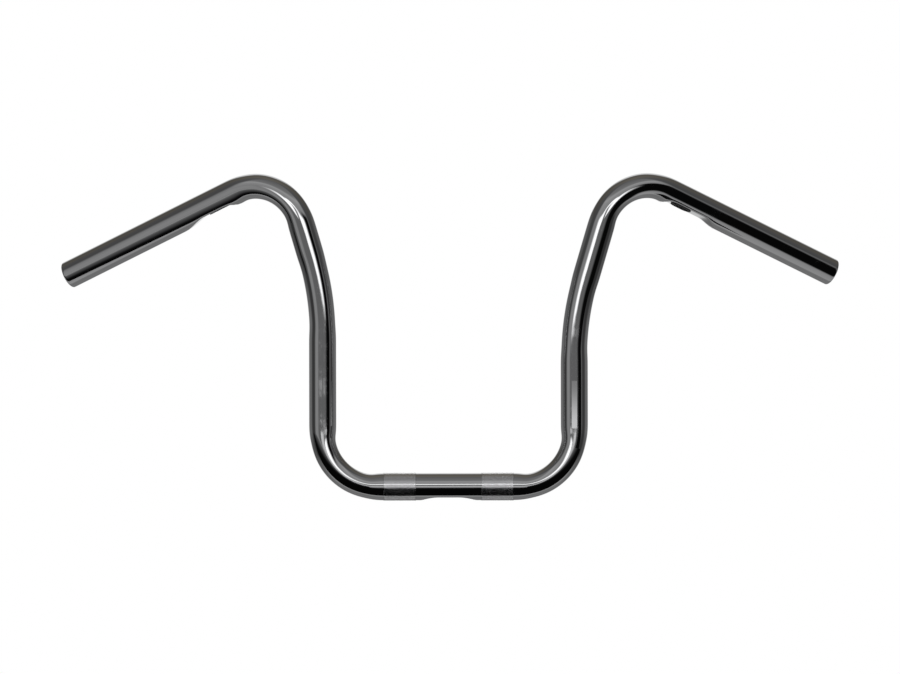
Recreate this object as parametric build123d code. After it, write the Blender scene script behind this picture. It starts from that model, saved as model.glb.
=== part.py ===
from build123d import *
import math
import os

# Tall one-inch motorcycle handlebar: a single bent steel tube, chrome plated, with two knurled
# clamp bands, a wiring slot underneath the middle, and a pressed wiring recess with an oblong hole
# at the inner end of each grip. A rubber grommet lines each hole and a push-in plug closes each end.
# Frame: the origin is on the tube's axis, halfway between the clamp bands. +Z is up, +Y is towards
# the rider and +X is the rider's left, and "left" and "right" are the rider's. Millimetres.

# Tube
TUBE_OD = 25.4
WALL = 2.8
END_ROUNDING = 1.4

# Which half of the bar, as the sign of its X
LEFT = 1
RIGHT = -1

# Bent line, given by the corners where its straight runs would meet. The bender set the right
# kink higher than the left one, so the halves differ by a few millimetres above it.
RISER_X = 117.0
KINK_Z = {LEFT: 157.0, RIGHT: 178.0}
RISER_LEAN = 16.4          # degrees outwards from upright, above the kink
TOP_CORNER_Z = 297.5
GRIP_DROOP = 26.5          # degrees below level, seen from the front
GRIP_PULLBACK = 22.0       # degrees towards the rider
GRIP_RUN = {LEFT: 239.0, RIGHT: 242.5}    # from the top corner to the tube's end
BASE_BEND_R = 50.0
KINK_BEND_R = 255.0
TOP_BEND_R = 45.0

# Knurled clamp bands
CLAMP_X = 45.5
CLAMP_LENGTH = 30.0
KNURL_RISE = 0.2

# Wiring slot under the middle, whose ends are half ovals
SLOT_LENGTH = 50.5
SLOT_WIDTH = 15.0
SLOT_END = 16.5

# Pressed recess in the underside of each grip, and the hole in its floor, from the tube's end
RECESS_START = 125.5
RECESS_END = 189.0
OUTER_RAMP = 20.0
INNER_RAMP = 13.0
RECESS_DEPTH = 4.5
RECESS_TURN = {LEFT: 11.0, RIGHT: 0.0}    # degrees round the tube, from straight under to the front
HOLE_CENTRE = 165.5
HOLE_LENGTH = 18.0
HOLE_WIDTH = 11.0

# Rubber grommet in each hole
GROMMET_LIP = 1.4          # how far the lips reach past the hole
LIP_THICKNESS = 0.7
GROMMET_WALL = 1.5

# Push-in end plug, a cup that opens inwards
PLUG_SET_IN = 1.0
PLUG_LENGTH = 16.0
PLUG_WALL = 2.0

OUTER_R = TUBE_OD / 2
BORE_R = OUTER_R - WALL
FLOOR = OUTER_R - RECESS_DEPTH     # from the tube's axis to the recess's floor


def corners(side):
    """One half's corners, from its base bend up and out to the tube's end."""
    top_x = RISER_X + (TOP_CORNER_Z - KINK_Z[side]) * math.tan(math.radians(RISER_LEAN))
    top = Vector(side * top_x, 0, TOP_CORNER_Z)
    end = top + grip_direction(side) * GRIP_RUN[side]
    return [Vector(side * RISER_X, 0, 0), Vector(side * RISER_X, 0, KINK_Z[side]), top, end]


def bent_line():
    """The tube's centre line, from the right end to the left end."""
    radii = [TOP_BEND_R, KINK_BEND_R, BASE_BEND_R]
    return FilletPolyline(*corners(RIGHT)[::-1], *corners(LEFT), radius=radii + radii[::-1])


def grip_direction(side):
    """Unit vector along a grip, from the bend out to the tube's end."""
    droop = math.radians(GRIP_DROOP)
    pullback = math.radians(GRIP_PULLBACK)
    level = math.cos(pullback)
    return Vector(side * level * math.cos(droop), math.sin(pullback), -level * math.sin(droop))


def grip_plane(line, side):
    """A plane at the tube's end: X runs back along the grip and Z points out of the recess."""
    outwards = grip_direction(side)
    under = outwards.cross(Vector(0, side, 0)).normalized() * -1
    turned = under.rotate(Axis((0, 0, 0), outwards), -side * RECESS_TURN[side])
    return Plane(origin=line @ (1 if side == LEFT else 0), x_dir=-outwards, z_dir=turned)


def round_rod(line, radius):
    """A solid rod of the given radius, bent along the line."""
    start = Plane(origin=line @ 0, z_dir=line % 0)
    return sweep(start * Circle(radius), path=line)


def clamp_band(side):
    """The metal that a clamp band's knurl raises above the tube."""
    along_x = Plane(origin=(side * CLAMP_X, 0, 0), z_dir=(1, 0, 0))
    return along_x * Cylinder(OUTER_R + KNURL_RISE, CLAMP_LENGTH)


def middle_slot():
    """Cutter for the wiring slot, down through the tube's lower wall."""
    end_x = SLOT_LENGTH / 2 - SLOT_END
    outline = Rectangle(2 * end_x, SLOT_WIDTH)
    for x in (-end_x, end_x):
        outline += Pos(x, 0) * Ellipse(SLOT_END, SLOT_WIDTH / 2)
    return extrude(outline, amount=-OUTER_R - 1)


def recess_block(plane, inset):
    """The space of the pressed recess, or that space grown inwards through the wall by inset."""
    start = RECESS_START - inset * math.tan(math.atan2(RECESS_DEPTH, OUTER_RAMP) / 2)
    end = RECESS_END + inset * math.tan(math.atan2(RECESS_DEPTH, INNER_RAMP) / 2)
    above = OUTER_R + 1
    profile = Polyline(
        (start, above),
        (start, OUTER_R - inset),
        (start + OUTER_RAMP, FLOOR - inset),
        (end - INNER_RAMP, FLOOR - inset),
        (end, OUTER_R - inset),
        (end, above),
        close=True,
    )
    side_on = Plane(origin=plane.origin, x_dir=plane.x_dir, z_dir=-plane.y_dir)
    return extrude(side_on * make_face(profile), amount=above, both=True)


def oblong(plane, grow, bottom, top):
    """A hole-shaped block, grown all round, between two distances from the tube's axis."""
    outline = SlotOverall(HOLE_LENGTH + 2 * grow, HOLE_WIDTH + 2 * grow)
    return plane * (Pos(HOLE_CENTRE, 0, bottom) * extrude(outline, amount=top - bottom))


def bar_tube(line):
    outside = round_rod(line, OUTER_R)
    outside = fillet(outside.faces().filter_by(GeomType.PLANE).edges(), END_ROUNDING)
    inside = round_rod(line, BORE_R)
    outside += [clamp_band(LEFT), clamp_band(RIGHT)]
    for side in (LEFT, RIGHT):
        plane = grip_plane(line, side)
        outside -= recess_block(plane, 0)
        inside -= recess_block(plane, WALL)
    tube = outside - inside - middle_slot()
    for side in (LEFT, RIGHT):
        tube -= oblong(grip_plane(line, side), 0, FLOOR - WALL - 1, FLOOR + 1)
    return tube


def wire_grommet(plane):
    """A rubber ring with a lip on each face of the wall and an oblong passage for the wires."""
    inner_face = FLOOR - WALL
    body = oblong(plane, 0, inner_face, FLOOR)
    body += oblong(plane, GROMMET_LIP, FLOOR, FLOOR + LIP_THICKNESS)
    body += oblong(plane, GROMMET_LIP, inner_face - LIP_THICKNESS, inner_face)
    passage = oblong(plane, -GROMMET_WALL, inner_face - 2 * LIP_THICKNESS, FLOOR + 2 * LIP_THICKNESS)
    return body - passage


def end_plug(line, side):
    """A cup with its closed face just inside the tube's end."""
    outwards = grip_direction(side)
    face = line @ (1 if side == LEFT else 0) - outwards * PLUG_SET_IN
    inwards = Plane(origin=face, z_dir=-outwards)
    cup = extrude(inwards * Circle(BORE_R), amount=PLUG_LENGTH)
    hollow = Plane(origin=face - outwards * PLUG_WALL, z_dir=-outwards) * Circle(BORE_R - PLUG_WALL)
    return cup - extrude(hollow, amount=PLUG_LENGTH)


line = bent_line()
pieces = {"bar_tube": bar_tube(line)}
for name, side in (("left", LEFT), ("right", RIGHT)):
    pieces[name + "_wire_grommet"] = wire_grommet(grip_plane(line, side))
    pieces[name + "_end_plug"] = end_plug(line, side)

os.makedirs("parts", exist_ok=True)
for node, shape in pieces.items():
    export_step(shape, f"parts/{node}.step")
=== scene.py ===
import math

import bpy
import numpy as np
from mathutils import Matrix, Vector


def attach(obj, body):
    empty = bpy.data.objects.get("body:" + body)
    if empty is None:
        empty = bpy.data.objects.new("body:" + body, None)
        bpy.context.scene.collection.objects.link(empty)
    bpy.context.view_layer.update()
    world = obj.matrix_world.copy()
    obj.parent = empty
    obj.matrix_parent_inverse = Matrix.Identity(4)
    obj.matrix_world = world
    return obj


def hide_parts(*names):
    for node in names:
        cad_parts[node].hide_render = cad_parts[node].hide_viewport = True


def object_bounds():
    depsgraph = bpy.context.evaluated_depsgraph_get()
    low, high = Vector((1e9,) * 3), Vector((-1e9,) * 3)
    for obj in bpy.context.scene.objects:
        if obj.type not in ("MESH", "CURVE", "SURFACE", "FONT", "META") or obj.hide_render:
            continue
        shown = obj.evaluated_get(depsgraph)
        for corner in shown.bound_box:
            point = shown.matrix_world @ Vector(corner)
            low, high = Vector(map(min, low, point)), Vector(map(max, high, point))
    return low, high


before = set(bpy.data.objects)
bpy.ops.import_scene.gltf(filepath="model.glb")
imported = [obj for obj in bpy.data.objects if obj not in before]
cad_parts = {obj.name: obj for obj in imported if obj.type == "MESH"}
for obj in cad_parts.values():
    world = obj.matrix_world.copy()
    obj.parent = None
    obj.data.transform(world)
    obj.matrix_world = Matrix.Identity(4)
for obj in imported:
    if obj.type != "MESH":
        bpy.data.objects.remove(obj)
cad_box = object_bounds()

# Bar tube
# One length of one-inch steel tube with a 2.8 mm wall, bent cold over formers and chrome plated.
# It goes up from the base, kinks outwards, turns over at the top and comes down to the grips.
LEFT, RIGHT = 1, -1
OUTER_R = 0.0127
WALL = 0.0028
BORE_R = OUTER_R - WALL
SEGMENTS = 96
RING_SPACING = 0.0029

RISER_X = 0.117
KINK_Z = {LEFT: 0.157, RIGHT: 0.178}
RISER_LEAN = math.radians(16.4)
TOP_CORNER_Z = 0.2975
GRIP_DROOP = math.radians(26.5)
GRIP_PULLBACK = math.radians(22)
GRIP_RUN = {LEFT: 0.239, RIGHT: 0.2425}
BEND_R = [0.05, 0.255, 0.045]          # base bend, kink, top bend
BEND_SQUASH = [0.11, 0.045, 0.08]      # how much each bend goes oval, as a share of the tube's width

RECESS_START = 0.1255                  # from the tube's end
RECESS_END = 0.189
OUTER_RAMP = {LEFT: 0.016, RIGHT: 0.026}
INNER_RAMP = 0.013
RECESS_DEPTH = 0.0045
RECESS_TURN = {LEFT: math.radians(11), RIGHT: 0}
RECESS_SOFTNESS = 0.0008
FLOOR = OUTER_R - RECESS_DEPTH         # from the tube's axis to the recess's floor

OUTER_ROUNDING = 0.0014                # at the tube's ends
BORE_ROUNDING = 0.0007


def grip_direction(side):
    level = math.cos(GRIP_PULLBACK)
    sideways, down = level * math.cos(GRIP_DROOP), level * math.sin(GRIP_DROOP)
    return Vector((side * sideways, math.sin(GRIP_PULLBACK), -down))


def recess_direction(side):
    """Out of the recess: straight under the grip, turned a little towards the front."""
    outwards = grip_direction(side)
    under = -outwards.cross(Vector((0, side, 0))).normalized()
    return Matrix.Rotation(-side * RECESS_TURN[side], 3, outwards) @ under


def half_of_bar(side):
    """The corners of one half, from its base bend out to the tube's end."""
    top_x = RISER_X + (TOP_CORNER_Z - KINK_Z[side]) * math.tan(RISER_LEAN)
    top = Vector((side * top_x, 0, TOP_CORNER_Z))
    end = top + grip_direction(side) * GRIP_RUN[side]
    return [Vector((side * RISER_X, 0, 0)), Vector((side * RISER_X, 0, KINK_Z[side])), top, end]


def put(tree, kind, feeds, output=None, **settings):
    """Adds a node, feeds its inputs with sockets or plain values, and gives one of its outputs."""
    made = tree.nodes.new(kind)
    for name, value in settings.items():
        setattr(made, name, value)
    for key, value in feeds.items():
        if isinstance(key, int):
            socket = made.inputs[key]
        else:
            socket = next(s for s in made.inputs if s.name == key and s.enabled)
        if isinstance(value, bpy.types.NodeSocket):
            tree.links.new(value, socket)
        else:
            socket.default_value = value
    return next(s for s in made.outputs if s.enabled and output in (None, s.name))


def calc(tree, operation, *terms):
    return put(tree, "ShaderNodeMath", dict(enumerate(terms)), operation=operation)


def vector_calc(tree, operation, *terms):
    return put(tree, "ShaderNodeVectorMath", dict(enumerate(terms)), operation=operation)


def scaled(tree, vector, factor):
    return put(tree, "ShaderNodeVectorMath", {0: vector, 3: factor}, operation="SCALE")


def between(tree, value, low, high, to_low=0.0, to_high=1.0):
    """A smooth step from one level to another as the value goes from low to high."""
    return put(
        tree, "ShaderNodeMapRange", {0: value, 1: low, 2: high, 3: to_low, 4: to_high},
        interpolation_type="SMOOTHSTEP",
    )


def mixed(tree, factor, first, second, blend="MIX"):
    """A colour that turns from the first into the second as the factor goes from 0 to 1."""
    feeds = {"Factor": factor, "A": first, "B": second}
    return put(tree, "ShaderNodeMix", feeds, "Result", data_type="RGBA", blend_type=blend)


def named(tree, name, kind):
    return put(tree, "GeometryNodeInputNamedAttribute", {"Name": name}, "Attribute", data_type=kind)


def stored(tree, geometry, name, kind, value):
    feeds = {"Geometry": geometry, "Name": name, "Value": value}
    return put(tree, "GeometryNodeStoreNamedAttribute", feeds, data_type=kind)


def new_geometry_tree(name, inputs):
    """A tree with a geometry output and the named inputs, and those inputs' sockets by name."""
    tree = bpy.data.node_groups.new(name, "GeometryNodeTree")
    tree.interface.new_socket("Geometry", in_out="OUTPUT", socket_type="NodeSocketGeometry")
    for label, kind in inputs.items():
        tree.interface.new_socket(label, in_out="INPUT", socket_type="NodeSocket" + kind)
    entry = tree.nodes.new("NodeGroupInput")
    return tree, {label: entry.outputs[label] for label in inputs}


def run_tree(tree, base, values):
    """The plain mesh that the tree makes from the base object with these values."""
    modifier = base.modifiers.new(tree.name, "NODES")
    modifier.node_group = tree
    for item in tree.interface.items_tree:
        if item.in_out == "INPUT" and item.name in values:
            modifier[item.identifier] = values[item.name]
    depsgraph = bpy.context.evaluated_depsgraph_get()
    mesh = bpy.data.meshes.new_from_object(base.evaluated_get(depsgraph))
    base.modifiers.remove(modifier)
    return mesh


def new_object(name, mesh):
    made = bpy.data.objects.new(name, mesh)
    bpy.context.scene.collection.objects.link(made)
    return made


def recessed(tree, offset, from_end, direction, outer_ramp, inputs):
    """The offset from the tube's axis, pressed in where the recess is."""
    start, end = inputs["Recess Start"], inputs["Recess End"]
    ramp_in = between(tree, from_end, start, calc(tree, "ADD", start, outer_ramp))
    ramp_out = between(tree, from_end, calc(tree, "SUBTRACT", end, inputs["Inner Ramp"]), end, 1.0, 0.0)
    press = calc(tree, "MULTIPLY", ramp_in, ramp_out)
    depth = calc(tree, "MULTIPLY", inputs["Recess Depth"], press)
    floor = calc(tree, "SUBTRACT", inputs["Tube Radius"], depth)
    height = put(tree, "ShaderNodeVectorMath", {0: offset, 1: direction}, "Value", operation="DOT_PRODUCT")
    above = calc(tree, "SUBTRACT", height, floor)
    soft = calc(tree, "POWER", calc(tree, "MULTIPLY", inputs["Recess Softness"], press), 2.0)
    root = calc(tree, "SQRT", calc(tree, "ADD", calc(tree, "MULTIPLY", above, above), soft))
    excess = calc(tree, "MULTIPLY", calc(tree, "ADD", above, root), 0.5)
    return vector_calc(tree, "SUBTRACT", offset, scaled(tree, direction, excess))


def bent_tube_tree(material):
    """A tube wall swept along a line, oval in its bends and pressed in at its recesses."""
    tree, inputs = new_geometry_tree("bent_tube", {
        "Geometry": "Geometry", "Tube Radius": "Float", "Segments": "Int", "Ring Spacing": "Float",
        "Recess Start": "Float", "Recess End": "Float", "Inner Ramp": "Float",
        "Left Outer Ramp": "Float", "Right Outer Ramp": "Float",
        "Recess Depth": "Float", "Recess Softness": "Float",
        "Left Recess Direction": "Vector", "Right Recess Direction": "Vector",
    })
    line = put(tree, "GeometryNodeMeshToCurve", {"Mesh": inputs["Geometry"]})
    bend_radius = named(tree, "bend_radius", "FLOAT")
    corner = {"Curve": line, "Count": 60, "Radius": bend_radius}
    line = put(tree, "GeometryNodeFilletCurve", corner, mode="POLY")
    spacing = {"Curve": line, "Length": inputs["Ring Spacing"]}
    line = put(tree, "GeometryNodeResampleCurve", spacing, mode="LENGTH")

    # The way a bend turns: one unit long in a bend, nothing on a straight run, and faded between them
    tangent = put(tree, "GeometryNodeInputTangent", {})
    index = put(tree, "GeometryNodeInputIndex", {})
    whole_line = {"Geometry": line}
    points = put(tree, "GeometryNodeAttributeDomainSize", whole_line, "Point Count", component="CURVE")
    last = calc(tree, "SUBTRACT", points, 1)
    places = (
        calc(tree, "MINIMUM", calc(tree, "ADD", index, 1), last),
        calc(tree, "MAXIMUM", calc(tree, "SUBTRACT", index, 1), 0),
    )
    at_point = {"data_type": "FLOAT_VECTOR", "domain": "POINT"}
    ahead, behind = (
        put(tree, "GeometryNodeFieldAtIndex", {"Value": tangent, "Index": place}, **at_point)
        for place in places
    )
    apart = calc(tree, "MULTIPLY", 2.0, inputs["Ring Spacing"])
    change = vector_calc(tree, "SUBTRACT", ahead, behind)
    turn = scaled(tree, change, calc(tree, "DIVIDE", bend_radius, apart))
    bend = put(tree, "GeometryNodeBlurAttribute", {"Value": turn, "Iterations": 5}, data_type="FLOAT_VECTOR")
    line = stored(tree, line, "bend", "FLOAT_VECTOR", bend)
    line = stored(tree, line, "centre", "FLOAT_VECTOR", put(tree, "GeometryNodeInputPosition", {}))
    line = stored(tree, line, "along", "FLOAT", put(tree, "GeometryNodeSplineParameter", {}, "Length"))
    whole = put(tree, "GeometryNodeCurveLength", {"Curve": line})

    circle = {"Resolution": inputs["Segments"], "Radius": inputs["Tube Radius"]}
    ring = put(tree, "GeometryNodeCurvePrimitiveCircle", circle)
    wall = put(tree, "GeometryNodeCurveToMesh", {"Curve": line, "Profile Curve": ring})
    centre = named(tree, "centre", "FLOAT_VECTOR")
    offset = vector_calc(tree, "SUBTRACT", put(tree, "GeometryNodeInputPosition", {}), centre)
    bend = named(tree, "bend", "FLOAT_VECTOR")
    reach = put(tree, "ShaderNodeVectorMath", {0: bend, 1: offset}, "Value", operation="DOT_PRODUCT")
    flattened = calc(tree, "MULTIPLY", reach, named(tree, "squash", "FLOAT"))
    offset = vector_calc(tree, "SUBTRACT", offset, scaled(tree, bend, flattened))
    from_right = named(tree, "along", "FLOAT")
    from_left = calc(tree, "SUBTRACT", whole, from_right)
    for name, from_end in (("Right", from_right), ("Left", from_left)):
        direction, outer_ramp = inputs[name + " Recess Direction"], inputs[name + " Outer Ramp"]
        offset = recessed(tree, offset, from_end, direction, outer_ramp, inputs)
    position = vector_calc(tree, "ADD", centre, offset)
    wall = put(tree, "GeometryNodeSetPosition", {"Geometry": wall, "Position": position})
    wall = put(tree, "GeometryNodeRealizeInstances", {"Geometry": wall})
    wall = put(tree, "GeometryNodeSetMaterial", {"Geometry": wall, "Material": material})
    tree.links.new(wall, tree.nodes.new("NodeGroupOutput").inputs["Geometry"])
    return tree


def skin(name, rings, closed):
    """A mesh over rings of equally many points: round from the last ring to the first, or capped at both."""
    rings = np.array(rings)
    count, around = rings.shape[:2]
    index = np.arange(count * around).reshape(count, around)
    following = np.roll(index, -1, axis=0) if closed else index[1:]
    here = index if closed else index[:-1]
    quads = np.stack([here, np.roll(here, -1, 1), np.roll(following, -1, 1), following], -1)
    faces = quads.reshape(-1, 4).tolist()
    if not closed:
        faces += [index[0][::-1].tolist(), index[-1].tolist()]
    mesh = bpy.data.meshes.new(name)
    mesh.from_pydata(rings.reshape(-1, 3).tolist(), [], faces)
    corners = rings.reshape(-1, 3)[np.array(faces[:here.size])]
    areas = np.cross(corners[:, 1], corners[:, 2]) + np.cross(corners[:, 2], corners[:, 3])
    volume = np.einsum("ij,ij->i", corners[:, 0], areas).sum()
    if volume < 0:
        mesh.flip_normals()
    mesh.shade_smooth()
    return mesh


def rim(ring, outwards):
    """Rings that carry the tube's outer wall round its end into the bore."""
    ring = np.array(ring)
    centre = ring.mean(axis=0)
    spokes = (ring - centre) / OUTER_R
    turns = [math.radians(a) for a in (0, 22, 45, 68, 90)]
    steps = [
        (OUTER_R - OUTER_ROUNDING * (1 - math.cos(a)), -OUTER_ROUNDING * (1 - math.sin(a)))
        for a in turns
    ]
    steps += [
        (BORE_R + BORE_ROUNDING * (1 - math.cos(a)), -BORE_ROUNDING * (1 - math.sin(a)))
        for a in reversed(turns)
    ]
    return [centre + spokes * radius + np.array(outwards) * depth for radius, depth in steps]


def chrome(name, colour, roughness, smear):
    """Chrome plate: a bright metal with faint handling marks and a slightly wavy polish."""
    material = bpy.data.materials.new(name)
    material.use_nodes = True
    tree = material.node_tree
    shader = tree.nodes["Principled BSDF"]
    shader.inputs["Base Color"].default_value = colour
    shader.inputs["Metallic"].default_value = 1
    place = put(tree, "ShaderNodeTexCoord", {}, "Object")
    marks_noise = {"Vector": place, "Scale": 55.0, "Detail": 5.0, "Roughness": 0.62}
    marks = put(tree, "ShaderNodeTexNoise", marks_noise)
    specks = put(tree, "ShaderNodeTexNoise", {"Vector": place, "Scale": 900.0, "Detail": 2.0})
    smears = between(tree, marks, 0.5, 0.72, roughness, roughness + smear)
    level = calc(tree, "ADD", smears, calc(tree, "MULTIPLY", specks, 0.02))
    tree.links.new(level, shader.inputs["Roughness"])
    polish = put(tree, "ShaderNodeTexNoise", {"Vector": place, "Scale": 26.0, "Detail": 2.0})
    bump = put(tree, "ShaderNodeBump", {"Height": polish, "Strength": 0.03, "Distance": 0.004})
    tree.links.new(bump, shader.inputs["Normal"])
    return material


def bare_steel():
    """The unplated bore: dull drawn steel with some rust bloom."""
    material = bpy.data.materials.new("bare_steel")
    material.use_nodes = True
    tree = material.node_tree
    shader = tree.nodes["Principled BSDF"]
    shader.inputs["Metallic"].default_value = 1
    place = put(tree, "ShaderNodeTexCoord", {}, "Object")
    bloom = put(tree, "ShaderNodeTexNoise", {"Vector": place, "Scale": 160.0, "Detail": 6.0})
    colours = mixed(tree, between(tree, bloom, 0.45, 0.7), (0.16, 0.155, 0.15, 1), (0.09, 0.06, 0.045, 1))
    tree.links.new(colours, shader.inputs["Base Color"])
    tree.links.new(between(tree, bloom, 0.3, 0.7, 0.45, 0.75), shader.inputs["Roughness"])
    return material


plated = chrome("chrome_plate", (0.62, 0.622, 0.63, 1), 0.035, 0.09)
bore_steel = bare_steel()
corners = half_of_bar(RIGHT)[::-1] + half_of_bar(LEFT)
straight_line = bpy.data.meshes.new("bent_line")
straight_line.from_pydata(corners, [(i, i + 1) for i in range(len(corners) - 1)], [])
for name, values in (("bend_radius", BEND_R), ("squash", BEND_SQUASH)):
    attribute = straight_line.attributes.new(name, "FLOAT", "POINT")
    attribute.data.foreach_set("value", [0.0, *values[::-1], *values, 0.0])
line_object = new_object("bent_line", straight_line)
tube_tree = bent_tube_tree(plated)


def wall_rings(radius):
    """The rings of one face of the tube's wall, from the right end to the left end."""
    mesh = run_tree(tube_tree, line_object, {
        "Tube Radius": radius, "Segments": SEGMENTS, "Ring Spacing": RING_SPACING,
        "Recess Start": RECESS_START, "Recess End": RECESS_END, "Inner Ramp": INNER_RAMP,
        "Recess Depth": RECESS_DEPTH, "Recess Softness": RECESS_SOFTNESS,
        "Left Recess Direction": recess_direction(LEFT), "Right Recess Direction": recess_direction(RIGHT),
        "Left Outer Ramp": OUTER_RAMP[LEFT], "Right Outer Ramp": OUTER_RAMP[RIGHT],
    })
    points = np.zeros(len(mesh.vertices) * 3)
    mesh.vertices.foreach_get("co", points)
    return points.reshape(-1, SEGMENTS, 3)


# The knurl's roots lie a little under the tube's surface, on the clamp bands
CLAMP_X = 0.0455
CLAMP_LENGTH = 0.03
KNURL_ROOT_R = 0.01268
outer, bore = wall_rings(OUTER_R), wall_rings(BORE_R)
for ring in outer:
    x = abs(ring[:, 0].mean())
    if abs(x - CLAMP_X) < CLAMP_LENGTH / 2 and ring[:, 2].mean() < 0.001:
        ring[:, 1:] *= KNURL_ROOT_R / OUTER_R
left_rim, right_rim = rim(outer[-1], grip_direction(LEFT)), rim(outer[0], grip_direction(RIGHT))
rings = [*outer[1:-1], *left_rim, *bore[-2:0:-1], *right_rim[::-1]]
tube_mesh = skin("bar_tube_chromed", rings, closed=True)
tube_mesh.materials.append(plated)
tube_mesh.materials.append(bore_steel)
first_bore_ring = len(outer) - 2 + len(left_rim)
for polygon in tube_mesh.polygons:
    if first_bore_ring <= polygon.index // SEGMENTS < first_bore_ring + len(bore) - 2:
        polygon.material_index = 1
tube = new_object("bar_tube_chromed", tube_mesh)
bpy.data.objects.remove(line_object)

# Slot and wire holes
# The wires drop into the tube through an oblong hole in each recess and come out of the slot
# under the middle. All three are milled through the wall, and the slot's outer edge is broken round.
SLOT_LENGTH = 0.0505
SLOT_WIDTH = 0.015
SLOT_END = 0.0165                      # the slot's ends are half ovals
SLOT_EDGE = 0.0004
HOLE_CENTRE = 0.1655                   # from the tube's end
HOLE_LENGTH = 0.018
HOLE_WIDTH = 0.011


def oblong(length, width, end, grow, count=80):
    """Points round a slot shape, grown all round. Each end is half an oval that is as long as given."""
    turns = (np.arange(count) + 0.5) / count * 2 * math.pi
    run = np.where(np.cos(turns) > 0, length / 2 - end, end - length / 2)
    normal = np.stack([np.cos(turns) / end, np.sin(turns) / (width / 2)], 1)
    normal /= np.linalg.norm(normal, axis=1)[:, None]
    return np.stack([run + end * np.cos(turns), width / 2 * np.sin(turns)], 1) + grow * normal


def slot_cutter():
    """A milling shape that opens out along the tube's surface and so leaves a rounded edge."""
    inside = oblong(SLOT_LENGTH, SLOT_WIDTH, SLOT_END, 0)
    rings = [np.column_stack([inside, np.full(len(inside), -0.004)])]
    for turn in (0, 15, 30, 45, 60, 75, 90):
        turn = math.radians(turn)
        flat = oblong(SLOT_LENGTH, SLOT_WIDTH, SLOT_END, SLOT_EDGE * (1 - math.cos(turn)))
        surface = np.sqrt(OUTER_R ** 2 - flat[:, 1] ** 2)
        rings.append(np.column_stack([flat, -surface + SLOT_EDGE * (1 - math.sin(turn)) - 0.00004]))
    rings.append(rings[-1] - np.array([0, 0, 0.004]))
    return skin("slot_cutter", rings, closed=False)


def grip_place(side, points):
    """Points given along the grip from its end, across it and out of the recess, as places on the bar."""
    outwards = np.array(grip_direction(side))
    up = np.array(recess_direction(side))
    end = np.array(half_of_bar(side)[-1])
    return end - points[:, :1] * outwards + points[:, 1:2] * np.cross(up, -outwards) + points[:, 2:] * up


def hole_ring(side, grow, height):
    flat = oblong(HOLE_LENGTH, HOLE_WIDTH, HOLE_WIDTH / 2, grow)
    points = np.column_stack([HOLE_CENTRE + flat[:, 0], flat[:, 1], np.full(len(flat), height)])
    return grip_place(side, points)


def cut(target, cutter_mesh):
    """Takes the cutter's shape out of the target's mesh."""
    cutter = new_object("cutter", cutter_mesh)
    modifier = target.modifiers.new("cut", "BOOLEAN")
    modifier.operation, modifier.object, modifier.solver = "DIFFERENCE", cutter, "MANIFOLD"
    depsgraph = bpy.context.evaluated_depsgraph_get()
    mesh = bpy.data.meshes.new_from_object(target.evaluated_get(depsgraph))
    target.modifiers.remove(modifier)
    bpy.data.objects.remove(cutter)
    target.data = mesh


cut(tube, slot_cutter())
for side in (LEFT, RIGHT):
    cut(tube, skin("hole_cutter", [hole_ring(side, 0, 0.001), hole_ring(side, 0, 0.012)], closed=False))
tube.data.set_sharp_from_angle(angle=math.radians(38))
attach(tube, "root")
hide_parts("bar_tube")

# Knurled clamp bands
# Two bands rolled into the tube with a diamond knurl, where the riser clamps grip it. They are
# plated with the tube, and the knurl's crests break its shine into a satin grey.
KNURLS_AROUND = 76
KNURL_PITCH = 0.00107
KNURL_HEIGHT = 0.0002
KNURL_TOP = 0.82                       # a diamond's flat top, as a share of its foot
CREST_R = 0.0129


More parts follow.
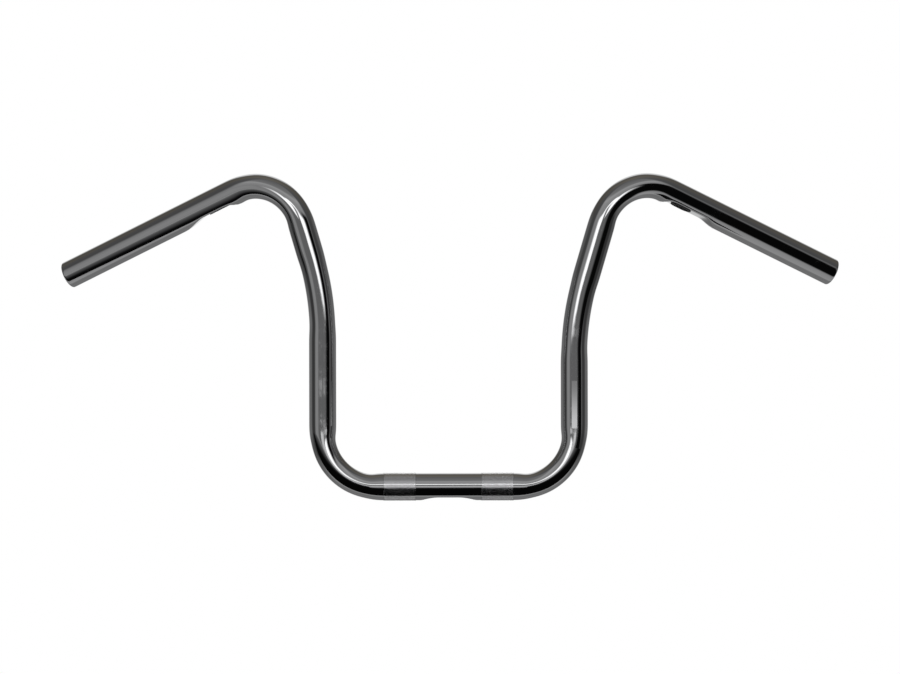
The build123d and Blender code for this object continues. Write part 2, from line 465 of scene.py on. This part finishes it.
def knurl_tree(material):
    """Staggered rows of low, flat-topped diamonds round a cylinder along X."""
    tree, inputs = new_geometry_tree("knurl", {
        "Geometry": "Geometry", "Band Centre": "Float", "Band Length": "Float", "Crest Radius": "Float",
        "Height": "Float", "Around": "Int", "Pitch": "Float", "Top Share": "Float",
    })
    twice = calc(tree, "MULTIPLY", 2.0, inputs["Band Length"])
    rows = calc(tree, "SUBTRACT", calc(tree, "FLOOR", calc(tree, "DIVIDE", twice, inputs["Pitch"])), 1.0)
    many = calc(tree, "MULTIPLY", rows, inputs["Around"])
    points = put(tree, "GeometryNodePoints", {"Count": many})
    index = put(tree, "GeometryNodeInputIndex", {})
    row = calc(tree, "FLOOR", calc(tree, "DIVIDE", calc(tree, "ADD", index, 0.5), inputs["Around"]))
    place = calc(tree, "SUBTRACT", index, calc(tree, "MULTIPLY", row, inputs["Around"]))
    place = calc(tree, "ADD", place, calc(tree, "MULTIPLY", 0.5, calc(tree, "MODULO", row, 2.0)))
    turn = calc(tree, "DIVIDE", calc(tree, "MULTIPLY", place, 2 * math.pi), inputs["Around"])
    middle = calc(tree, "MULTIPLY", calc(tree, "SUBTRACT", rows, 1.0), 0.5)
    half = calc(tree, "MULTIPLY", inputs["Pitch"], 0.5)
    from_middle = calc(tree, "MULTIPLY", calc(tree, "SUBTRACT", row, middle), half)
    x = calc(tree, "ADD", inputs["Band Centre"], from_middle)
    root = calc(tree, "SUBTRACT", inputs["Crest Radius"], inputs["Height"])
    y = calc(tree, "MULTIPLY", calc(tree, "MULTIPLY", root, calc(tree, "SINE", turn)), -1.0)
    z = calc(tree, "MULTIPLY", root, calc(tree, "COSINE", turn))
    position = put(tree, "ShaderNodeCombineXYZ", {"X": x, "Y": y, "Z": z})
    points = put(tree, "GeometryNodeSetPosition", {"Geometry": points, "Position": position})
    diamond = put(tree, "GeometryNodeMeshCone", {
        "Vertices": 4, "Radius Top": calc(tree, "MULTIPLY", half, inputs["Top Share"]),
        "Radius Bottom": half, "Depth": inputs["Height"],
    })
    turned = put(tree, "ShaderNodeCombineXYZ", {"X": turn, "Y": 0.0, "Z": 0.0})
    feeds = {"Points": points, "Instance": diamond, "Rotation": turned}
    band = put(tree, "GeometryNodeInstanceOnPoints", feeds)
    band = put(tree, "GeometryNodeRealizeInstances", {"Geometry": band})
    band = put(tree, "GeometryNodeSetMaterial", {"Geometry": band, "Material": material})
    tree.links.new(band, tree.nodes.new("NodeGroupOutput").inputs["Geometry"])
    return tree


knurl_plate = chrome("chrome_plate_knurled", (0.9, 0.9, 0.91, 1), 0.15, 0.06)
bands = knurl_tree(knurl_plate)
for name, side in (("left", LEFT), ("right", RIGHT)):
    seed = new_object("seed", bpy.data.meshes.new("seed"))
    mesh = run_tree(bands, seed, {
        "Band Centre": side * CLAMP_X, "Band Length": CLAMP_LENGTH, "Crest Radius": CREST_R,
        "Height": KNURL_HEIGHT, "Around": KNURLS_AROUND, "Pitch": KNURL_PITCH, "Top Share": KNURL_TOP,
    })
    bpy.data.objects.remove(seed)
    band = new_object(name + "_clamp_knurl", mesh)
    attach(band, "root")

# Wire grommets
# A soft black rubber ring is pushed into each oblong hole so that its lips grip the wall from both
# sides, and it keeps the wires off the hole's edge.
GROMMET_LIP = 0.0014
LIP_THICKNESS = 0.0007
GROMMET_WALL = 0.0015
LIP_ROUNDING = 0.0003


def rounded(outline, radius, steps=4):
    """A closed outline of two-number points with its corners rounded."""
    outline = [Vector(p) for p in outline]
    points = []
    for before, corner, after in zip(outline[-1:] + outline[:-1], outline, outline[1:] + outline[:1]):
        start = corner + (before - corner).normalized() * radius
        end = corner + (after - corner).normalized() * radius
        for i in range(steps + 1):
            t = i / steps
            points.append(start * (1 - t) ** 2 + corner * 2 * t * (1 - t) + end * t ** 2)
    return points


def moulded(name, colour, roughness, grain, grain_depth):
    """Moulded rubber or plastic with a fine surface grain and a little dust in it."""
    material = bpy.data.materials.new(name)
    material.use_nodes = True
    tree = material.node_tree
    shader = tree.nodes["Principled BSDF"]
    shader.inputs["Specular IOR Level"].default_value = 0.4
    place = put(tree, "ShaderNodeTexCoord", {}, "Object")
    dust = put(tree, "ShaderNodeTexNoise", {"Vector": place, "Scale": 220.0, "Detail": 6.0})
    dark = (colour, colour, colour * 1.04, 1)
    dusty = (colour * 1.6, colour * 1.55, colour * 1.5, 1)
    colours = mixed(tree, between(tree, dust, 0.5, 0.8), dark, dusty)
    tree.links.new(colours, shader.inputs["Base Color"])
    tree.links.new(between(tree, dust, 0.3, 0.7, roughness, roughness + 0.15), shader.inputs["Roughness"])
    pores = put(tree, "ShaderNodeTexNoise", {"Vector": place, "Scale": grain, "Detail": 3.0})
    bump = put(tree, "ShaderNodeBump", {"Height": pores, "Strength": 0.5, "Distance": grain_depth})
    tree.links.new(bump, shader.inputs["Normal"])
    return material


rubber = moulded("soft_rubber", 0.012, 0.6, 2600.0, 0.00003)
inner_face = FLOOR - WALL
outer_face = FLOOR - 0.0001            # the lip sinks a little into the wall
hole_edge = -0.00004
section = rounded([
    (-GROMMET_WALL, inner_face - LIP_THICKNESS), (GROMMET_LIP, inner_face - LIP_THICKNESS),
    (GROMMET_LIP, inner_face), (hole_edge, inner_face),
    (hole_edge, outer_face), (GROMMET_LIP, outer_face),
    (GROMMET_LIP, FLOOR + LIP_THICKNESS), (-GROMMET_WALL, FLOOR + LIP_THICKNESS),
], LIP_ROUNDING)
for name, side in (("left", LEFT), ("right", RIGHT)):
    rings = [hole_ring(side, grow, height) for grow, height in section]
    mesh = skin(name + "_grommet_rubber", rings, closed=True)
    mesh.materials.append(rubber)
    grommet = new_object(name + "_grommet_rubber", mesh)
    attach(grommet, "root")
    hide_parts(name + "_wire_grommet")

# End plugs
# A push-in plug of black moulded plastic closes each end of the tube. It is a cup with a dished
# face and shallow ribs round its wall, which hold it in the bore.
PLUG_SET_IN = 0.001
PLUG_LENGTH = 0.016
PLUG_WALL = 0.002
PLUG_R = 0.0097
RIB_RISE = 0.0002
PLUG_POINTS = 64
plastic = moulded("moulded_plastic", 0.026, 0.38, 1700.0, 0.00004)
dished_face = [
    (0.0002, 0.0006), (0.003, 0.0005), (0.0055, 0.00025), (0.0072, 0.0), (0.0085, 0.0),
    (0.0092, 0.0002), (0.0096, 0.0007), (PLUG_R, 0.0014),
]
ribs = []
for depth in (0.003, 0.006, 0.009):
    ribs += [(PLUG_R, depth), (PLUG_R + RIB_RISE, depth + 0.0005), (PLUG_R, depth + 0.001)]
mouth = [
    (0.0096, 0.0148), (0.0094, PLUG_LENGTH - 0.0002), (0.0092, PLUG_LENGTH),
    (0.0081, PLUG_LENGTH), (0.0079, PLUG_LENGTH - 0.0002),
]
hollow = [(0.0079, PLUG_WALL + 0.0006), (0.0073, PLUG_WALL), (0.0002, PLUG_WALL)]
turns = [2 * math.pi * i / PLUG_POINTS for i in range(PLUG_POINTS)]
for name, side in (("left", LEFT), ("right", RIGHT)):
    outwards = grip_direction(side)
    across = outwards.orthogonal().normalized()
    other = outwards.cross(across)
    face = half_of_bar(side)[-1] - outwards * PLUG_SET_IN
    spokes = [across * math.cos(turn) + other * math.sin(turn) for turn in turns]
    rings = [
        [face - outwards * depth + spoke * radius for spoke in spokes]
        for radius, depth in dished_face + ribs + mouth + hollow
    ]
    mesh = skin(name + "_plug_moulded", rings, closed=False)
    mesh.materials.append(plastic)
    plug = new_object(name + "_plug_moulded", mesh)
    plug.data.set_sharp_from_angle(angle=math.radians(50))
    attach(plug, "root")
    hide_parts(name + "_end_plug")

# Studio
# A white floor under soft overhead light, with grey surroundings for the chrome to mirror: an arched
# lamp and cards in front, a black cloth before the bar, a dark gap at one side and paper behind.
FLOOR_Z = cad_box[0].z - 0.0002
CLOTH_Z = -0.0128


def emitter(name, corners, brightness):
    """A card that only the chrome sees. brightness(tree, x, y, z) says how bright each place is."""
    mesh = bpy.data.meshes.new(name)
    mesh.from_pydata(corners, [], [(0, 1, 2, 3)])
    material = bpy.data.materials.new(name)
    material.use_nodes = True
    tree = material.node_tree
    tree.nodes.clear()
    place = put(tree, "ShaderNodeTexCoord", {}, "Object")
    x, y, z = (put(tree, "ShaderNodeSeparateXYZ", {"Vector": place}, axis) for axis in "XYZ")
    glow = put(tree, "ShaderNodeEmission", {"Color": (1, 1, 1, 1), "Strength": brightness(tree, x, y, z)})
    tree.links.new(glow, tree.nodes.new("ShaderNodeOutputMaterial").inputs["Surface"])
    mesh.materials.append(material)
    card = new_object(name, mesh)
    card.visible_camera = card.visible_diffuse = card.visible_shadow = False


def upright(x0, x1, y, z0, z1):
    return [(x0, y, z0), (x1, y, z0), (x1, y, z1), (x0, y, z1)]


def laid(x0, x1, y0, y1, z):
    return [(x0, y0, z), (x1, y0, z), (x1, y1, z), (x0, y1, z)]


def table_edge(tree, x, y, z):
    return between(tree, z, -0.0127, 0.05, 0.5, 0.85)


def table_strip(tree, x, y, z):
    return between(tree, y, -0.08, -0.3, 0.27, 0.45)


def low_card(tree, x, y, z):
    return between(tree, z, 0.054, 0.098, 0.85, 0.3)


def cloth(tree, x, y, z):
    """Black near the bar, and greyer further off."""
    spread = calc(tree, "EXPONENT", calc(tree, "MULTIPLY", y, -5.0))
    return calc(tree, "MULTIPLY", spread, between(tree, y, -0.08, -0.22, 0.002, 0.023))


emitter("table_edge", upright(-0.3, 0.3, -0.6, -0.0127, 0.05), table_edge)
emitter("table_strip", laid(-0.075, 0.075, -0.5, -0.08, CLOTH_Z + 0.00005), table_strip)
emitter("low_card", upright(0.096, 0.141, -0.06, 0.054, 0.098), low_card)
emitter("cloth", laid(-1.0, 0.29, -0.6, -0.0102, CLOTH_Z), cloth)

world = bpy.data.worlds.new("studio")
bpy.context.scene.world = world
world.use_nodes = True
tree = world.node_tree
tree.nodes.clear()
direction = put(tree, "ShaderNodeTexCoord", {}, "Generated")
x, y, z = (put(tree, "ShaderNodeSeparateXYZ", {"Vector": direction}, axis) for axis in "XYZ")
azimuth = calc(tree, "MULTIPLY", calc(tree, "ARCTAN2", x, calc(tree, "MULTIPLY", y, -1.0)), 180 / math.pi)
elevation = calc(tree, "MULTIPLY", calc(tree, "ARCSINE", z), 180 / math.pi)


def grey(level):
    """The colour that a chrome mirror shows as this grey, from 0 to 255."""
    return (((level / 255 + 0.055) / 1.055) ** 2.4 / 0.62,) * 3 + (1,)


def ramp(tree, value, stops):
    """Brightness against elevation, from (degrees, grey) pairs."""
    position = put(tree, "ShaderNodeMapRange", {0: value, 1: -90.0, 2: 90.0})
    made = tree.nodes.new("ShaderNodeValToRGB")
    tree.links.new(position, made.inputs["Fac"])
    for i, (degrees, level) in enumerate(stops):
        spot = made.color_ramp.elements[i] if i < 2 else made.color_ramp.elements.new(1)
        spot.position = (degrees + 90) / 180
        spot.color = grey(level)
    return made.outputs["Color"]


def window(tree, value, shut_below, open_from, open_to, shut_above):
    """1 where the value is in a range, 0 outside it, and soft at the range's edges."""
    rise = between(tree, value, shut_below, open_from)
    return calc(tree, "MULTIPLY", rise, between(tree, value, open_to, shut_above, 1.0, 0.0))


front = ramp(tree, elevation, [
    (-90, 136), (90, 84), (-60, 130), (-30, 110), (-12, 92), (0, 90), (9, 96), (18, 122), (30, 128),
    (34, 130), (42, 142), (52, 106), (62, 90),
])
sides = ramp(tree, elevation, [(-90, 136), (90, 84), (-45, 135), (-20, 44), (10, 56), (36, 54)])
behind = ramp(tree, elevation, [
    (-90, 112), (90, 94), (-72, 104), (-50, 108), (-22, 84), (-12, 72), (-3, 102), (8, 92), (25, 66),
    (50, 78), (66, 106),
])
turned = calc(tree, "ABSOLUTE", azimuth)
levels = mixed(tree, between(tree, turned, 55.0, 74.0), front, sides)
behind = mixed(tree, between(tree, elevation, 12.0, 34.0), behind, (1.0, 0.93, 0.8, 1), "MULTIPLY")
levels = mixed(tree, between(tree, turned, 92.0, 114.0), levels, behind)

# White paper hangs behind the bar, and a lighter panel stands halfway round to each side
paper_across = between(tree, turned, 148.0, 172.0)
paper_up = window(tree, elevation, -30.0, -12.0, 38.0, 52.0)
levels = mixed(tree, calc(tree, "MULTIPLY", paper_across, paper_up), levels, grey(195))
panel_across = window(tree, turned, 32.0, 44.0, 56.0, 74.0)
panel_up = window(tree, elevation, -34.0, -8.0, 6.0, 22.0)
levels = mixed(tree, calc(tree, "MULTIPLY", panel_across, panel_up), levels, grey(124))

# The dark gap at the right leans over towards the floor
lean_near = calc(tree, "SUBTRACT", azimuth, calc(tree, "MULTIPLY", elevation, 0.15))
below = calc(tree, "MINIMUM", elevation, 0.0)
lean_far = calc(tree, "ADD", azimuth, calc(tree, "MULTIPLY", below, 0.6))
near = between(tree, lean_near, 20.0, 38.0)
far = between(tree, lean_far, 58.0, 68.0, 1.0, 0.0)
tall = window(tree, elevation, -50.0, -38.0, 20.0, 28.0)
gap = calc(tree, "MULTIPLY", calc(tree, "MULTIPLY", near, far), tall)
levels = mixed(tree, gap, levels, (0.003, 0.003, 0.003, 1))

# The lamp is an arch: two broad feet either side of the middle and a thin crown above them
across = calc(tree, "POWER", calc(tree, "DIVIDE", azimuth, 22.0), 2.0)
up = calc(tree, "POWER", calc(tree, "DIVIDE", elevation, 19.5), 2.0)
reach = calc(tree, "SQRT", calc(tree, "ADD", across, up))
off = calc(tree, "ABSOLUTE", calc(tree, "SUBTRACT", reach, 1.0))
crown = calc(tree, "MULTIPLY", between(tree, off, 0.06, 0.2, 1.0, 0.0), between(tree, elevation, 4.0, 9.0))
feet_across = window(tree, turned, 2.0, 9.0, 24.0, 40.0)
feet_up = window(tree, elevation, 1.0, 3.6, 11.0, 18.0)
lamp = calc(tree, "MAXIMUM", crown, calc(tree, "MULTIPLY", feet_across, feet_up))
levels = mixed(tree, lamp, levels, (1.7, 1.7, 1.7, 1))
rays = tree.nodes.new("ShaderNodeLightPath")
seen = mixed(tree, rays.outputs["Is Camera Ray"], levels, (1, 1, 1, 1))
glow = put(tree, "ShaderNodeBackground", {"Color": seen, "Strength": 1.0})
tree.links.new(glow, tree.nodes.new("ShaderNodeOutputWorld").inputs["Surface"])

floor_mesh = bpy.data.meshes.new("floor")
floor_mesh.from_pydata(laid(-30, 30, -30, 30, FLOOR_Z), [], [(0, 1, 2, 3)])
paper = bpy.data.materials.new("white_paper")
paper.use_nodes = True
shader = paper.node_tree.nodes["Principled BSDF"]
shader.inputs["Base Color"].default_value = (0.86, 0.86, 0.86, 1)
shader.inputs["Roughness"].default_value = 0.9
shader.inputs["Specular IOR Level"].default_value = 0
floor_mesh.materials.append(paper)
floor = new_object("floor", floor_mesh)
floor.visible_glossy = False

overhead = bpy.data.lights.new("overhead", "SUN")
overhead.energy = 3.9
overhead.angle = math.radians(70)
overhead_lamp = bpy.data.objects.new("overhead", overhead)
overhead_lamp.rotation_euler = (math.radians(-12), math.radians(8), 0)
overhead_lamp.visible_glossy = False
bpy.context.scene.collection.objects.link(overhead_lamp)

bpy.context.scene.view_settings.view_transform = "Standard"

# Camera
# Level with the middle of the bar, square to it and without perspective, and rolled by a tenth of a
# degree.
VIEW_WIDTH = 0.837
VIEW_CENTRE = (0.0015, 0.1392)
VIEW_ROLL = math.radians(0.1)
lens = bpy.data.cameras.new("camera")
lens.type = "ORTHO"
lens.ortho_scale = VIEW_WIDTH
camera = bpy.data.objects.new("camera", lens)
camera.location = (VIEW_CENTRE[0], -3, VIEW_CENTRE[1])
camera.rotation_euler = (math.radians(90), VIEW_ROLL, 0)
bpy.context.scene.collection.objects.link(camera)
bpy.context.scene.camera = camera
